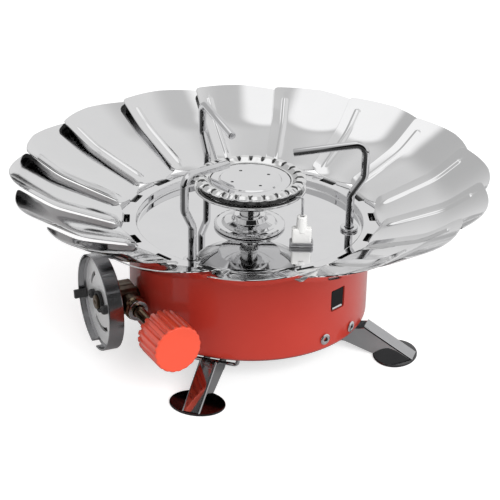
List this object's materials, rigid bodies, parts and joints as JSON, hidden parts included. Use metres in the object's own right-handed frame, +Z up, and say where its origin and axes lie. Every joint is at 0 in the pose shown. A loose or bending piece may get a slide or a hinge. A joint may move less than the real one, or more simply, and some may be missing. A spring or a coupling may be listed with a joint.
{
  "type": "folding gas camping stove",
  "caption": "Compact gas camping stove: red drum with a folding petal windshield, swivelling pot rods, folding legs, push igniter, knob valve and side cartridge flange.",
  "frame": {"origin": "on the ground, under the centre of the drum and windshield", "axes": "+Z up; -Y is the front, towards which the knob points and which the picture shows; +X to the right"},
  "size_m": [0.2252, 0.2252, 0.1013],
  "materials": {
    "red_paint": "glossy red enamel",
    "chrome_plate": "mirror polished",
    "petal_chrome": "mirror polished pressed sheet",
    "rod_chrome": "bright plated rod",
    "leg_chrome": "bright plated pressing",
    "burner_steel": "bright plated",
    "bright_steel": "bright zinc plated",
    "black_steel": "blackened steel screw",
    "valve_brass": "dull brown brass",
    "brass": "plain turned brass",
    "coral_plastic": "satin coral orange",
    "black_plastic": "satin black",
    "rubber": "matt black",
    "ceramic": "white glazed porcelain",
    "lead_sleeve": "pale silicone sleeve"
  },
  "bodies": {
    "stove": {"drum_shell": "red_paint", "top_plate": "chrome_plate", "burner_foot": "burner_steel", "burner_bowl": "burner_steel", "burner_crown": "burner_steel", "burner_cap": "burner_steel", "gas_jet": "brass", "gas_pipe": "brass", "valve_body": "valve_brass", "wall_nut": "bright_steel", "packing_nut": "bright_steel", "cartridge_flange": "chrome_plate", "cartridge_seal": "rubber", "flange_screw_1": "black_steel", "flange_screw_2": "black_steel", "locating_tab": "black_plastic", "igniter_body": "black_plastic", "igniter_spring": "bright_steel", "igniter_bracket": "bright_steel", "igniter_rivet_1": "bright_steel", "igniter_rivet_2": "bright_steel", "electrode_ceramic": "ceramic", "electrode_pin": "bright_steel", "electrode_clip": "bright_steel", "ignition_lead": "lead_sleeve", "leg_staple_1": "leg_chrome", "support_bush_1": "bright_steel", "leg_staple_2": "leg_chrome", "support_bush_2": "bright_steel", "leg_staple_3": "leg_chrome", "support_bush_3": "bright_steel"},
    "petal_01": {"petal_01": "petal_chrome"},
    "petal_02": {"petal_02": "petal_chrome"},
    "petal_03": {"petal_03": "petal_chrome"},
    "petal_04": {"petal_04": "petal_chrome"},
    "petal_05": {"petal_05": "petal_chrome"},
    "petal_06": {"petal_06": "petal_chrome"},
    "petal_07": {"petal_07": "petal_chrome"},
    "petal_08": {"petal_08": "petal_chrome"},
    "petal_09": {"petal_09": "petal_chrome"},
    "petal_10": {"petal_10": "petal_chrome"},
    "petal_11": {"petal_11": "petal_chrome"},
    "petal_12": {"petal_12": "petal_chrome"},
    "petal_13": {"petal_13": "petal_chrome"},
    "petal_14": {"petal_14": "petal_chrome"},
    "petal_15": {"petal_15": "petal_chrome"},
    "petal_16": {"petal_16": "petal_chrome"},
    "pot_support_1": {"pot_support_1": "rod_chrome"},
    "pot_support_2": {"pot_support_2": "rod_chrome"},
    "pot_support_3": {"pot_support_3": "rod_chrome"},
    "leg_1": {"leg_1": "leg_chrome"},
    "leg_2": {"leg_2": "leg_chrome"},
    "leg_3": {"leg_3": "leg_chrome"},
    "valve_control": {"valve_spindle": "valve_brass", "spindle_ring": "bright_steel", "valve_knob": "coral_plastic"},
    "igniter_button": {"igniter_button": "black_plastic"}
  },
  "joints": [
    {"name": "petal_01_fold", "type": "hinge", "parent": "stove", "child": "petal_01", "pos_m": [0.05869, 0.00359, 0.0581], "axis": [0.061, -0.9981, 0], "range_deg": [0, 55]},
    {"name": "petal_02_fold", "type": "hinge", "parent": "stove", "child": "petal_02", "pos_m": [0.05285, 0.02578, 0.0581], "axis": [0.4384, -0.8988, 0], "range_deg": [0, 55]},
    {"name": "petal_03_fold", "type": "hinge", "parent": "stove", "child": "petal_03", "pos_m": [0.03896, 0.04404, 0.0581], "axis": [0.749, -0.6626, 0], "range_deg": [0, 55]},
    {"name": "petal_04_fold", "type": "hinge", "parent": "stove", "child": "petal_04", "pos_m": [0.01914, 0.0556, 0.0581], "axis": [0.9455, -0.3256, 0], "range_deg": [0, 55]},
    {"name": "petal_05_fold", "type": "hinge", "parent": "stove", "child": "petal_05", "pos_m": [-0.00359, 0.05869, 0.0581], "axis": [0.9981, 0.061, 0], "range_deg": [0, 55]},
    {"name": "petal_06_fold", "type": "hinge", "parent": "stove", "child": "petal_06", "pos_m": [-0.02578, 0.05285, 0.0581], "axis": [0.8988, 0.4384, 0], "range_deg": [0, 55]},
    {"name": "petal_07_fold", "type": "hinge", "parent": "stove", "child": "petal_07", "pos_m": [-0.04404, 0.03896, 0.0581], "axis": [0.6626, 0.749, 0], "range_deg": [0, 55]},
    {"name": "petal_08_fold", "type": "hinge", "parent": "stove", "child": "petal_08", "pos_m": [-0.0556, 0.01914, 0.0581], "axis": [0.3256, 0.9455, 0], "range_deg": [0, 55]},
    {"name": "petal_09_fold", "type": "hinge", "parent": "stove", "child": "petal_09", "pos_m": [-0.05869, -0.00359, 0.0581], "axis": [-0.061, 0.9981, 0], "range_deg": [0, 55]},
    {"name": "petal_10_fold", "type": "hinge", "parent": "stove", "child": "petal_10", "pos_m": [-0.05285, -0.02578, 0.0581], "axis": [-0.4384, 0.8988, 0], "range_deg": [0, 55]},
    {"name": "petal_11_fold", "type": "hinge", "parent": "stove", "child": "petal_11", "pos_m": [-0.03896, -0.04404, 0.0581], "axis": [-0.749, 0.6626, 0], "range_deg": [0, 55]},
    {"name": "petal_12_fold", "type": "hinge", "parent": "stove", "child": "petal_12", "pos_m": [-0.01914, -0.0556, 0.0581], "axis": [-0.9455, 0.3256, 0], "range_deg": [0, 55]},
    {"name": "petal_13_fold", "type": "hinge", "parent": "stove", "child": "petal_13", "pos_m": [0.00359, -0.05869, 0.0581], "axis": [-0.9981, -0.061, 0], "range_deg": [0, 55]},
    {"name": "petal_14_fold", "type": "hinge", "parent": "stove", "child": "petal_14", "pos_m": [0.02578, -0.05285, 0.0581], "axis": [-0.8988, -0.4384, 0], "range_deg": [0, 55]},
    {"name": "petal_15_fold", "type": "hinge", "parent": "stove", "child": "petal_15", "pos_m": [0.04404, -0.03896, 0.0581], "axis": [-0.6626, -0.749, 0], "range_deg": [0, 55]},
    {"name": "petal_16_fold", "type": "hinge", "parent": "stove", "child": "petal_16", "pos_m": [0.0556, -0.01914, 0.0581], "axis": [-0.3256, -0.9455, 0], "range_deg": [0, 55]},
    {"name": "pot_support_1_swivel", "type": "hinge", "parent": "stove", "child": "pot_support_1", "pos_m": [-0.02573, -0.03993, 0.06], "axis": [0, 0, 1], "range_deg": [-90, 90]},
    {"name": "pot_support_2_swivel", "type": "hinge", "parent": "stove", "child": "pot_support_2", "pos_m": [0.04744, -0.00232, 0.06], "axis": [0, 0, 1], "range_deg": [-90, 90]},
    {"name": "pot_support_3_swivel", "type": "hinge", "parent": "stove", "child": "pot_support_3", "pos_m": [-0.02171, 0.04225, 0.06], "axis": [0, 0, 1], "range_deg": [-90, 90]},
    {"name": "leg_1_fold", "type": "hinge", "parent": "stove", "child": "leg_1", "pos_m": [-0.01462, -0.04782, 0.0086], "axis": [0.9563, -0.2924, 0], "range_deg": [0, 155]},
    {"name": "leg_2_fold", "type": "hinge", "parent": "stove", "child": "leg_2", "pos_m": [0.04755, -0.01545, 0.0086], "axis": [0.309, 0.9511, 0], "range_deg": [0, 155]},
    {"name": "leg_3_fold", "type": "hinge", "parent": "stove", "child": "leg_3", "pos_m": [-0.02347, 0.04415, 0.0086], "axis": [-0.8829, -0.4695, 0], "range_deg": [0, 155]},
    {"name": "valve_turn", "type": "hinge", "parent": "stove", "child": "valve_control", "pos_m": [-0.05824, -0.02654, 0.03], "axis": [0.5, -0.866, 0], "range_deg": [0, 540]},
    {"name": "igniter_press", "type": "slide", "parent": "stove", "child": "igniter_button", "axis": [-0.7206, 0.6934, 0], "range_m": [0, 0.004], "stiffness_N_per_m": 2000, "springref_m": -0.001, "deforming": ["igniter_spring"]}
  ],
  "couplings": [
    {"joint": "petal_02_fold", "follows": "petal_01_fold", "ratio": 1},
    {"joint": "petal_03_fold", "follows": "petal_01_fold", "ratio": 1},
    {"joint": "petal_04_fold", "follows": "petal_01_fold", "ratio": 1},
    {"joint": "petal_05_fold", "follows": "petal_01_fold", "ratio": 1},
    {"joint": "petal_06_fold", "follows": "petal_01_fold", "ratio": 1},
    {"joint": "petal_07_fold", "follows": "petal_01_fold", "ratio": 1},
    {"joint": "petal_08_fold", "follows": "petal_01_fold", "ratio": 1},
    {"joint": "petal_09_fold", "follows": "petal_01_fold", "ratio": 1},
    {"joint": "petal_10_fold", "follows": "petal_01_fold", "ratio": 1},
    {"joint": "petal_11_fold", "follows": "petal_01_fold", "ratio": 1},
    {"joint": "petal_12_fold", "follows": "petal_01_fold", "ratio": 1},
    {"joint": "petal_13_fold", "follows": "petal_01_fold", "ratio": 1},
    {"joint": "petal_14_fold", "follows": "petal_01_fold", "ratio": 1},
    {"joint": "petal_15_fold", "follows": "petal_01_fold", "ratio": 1},
    {"joint": "petal_16_fold", "follows": "petal_01_fold", "ratio": 1}
  ]
}
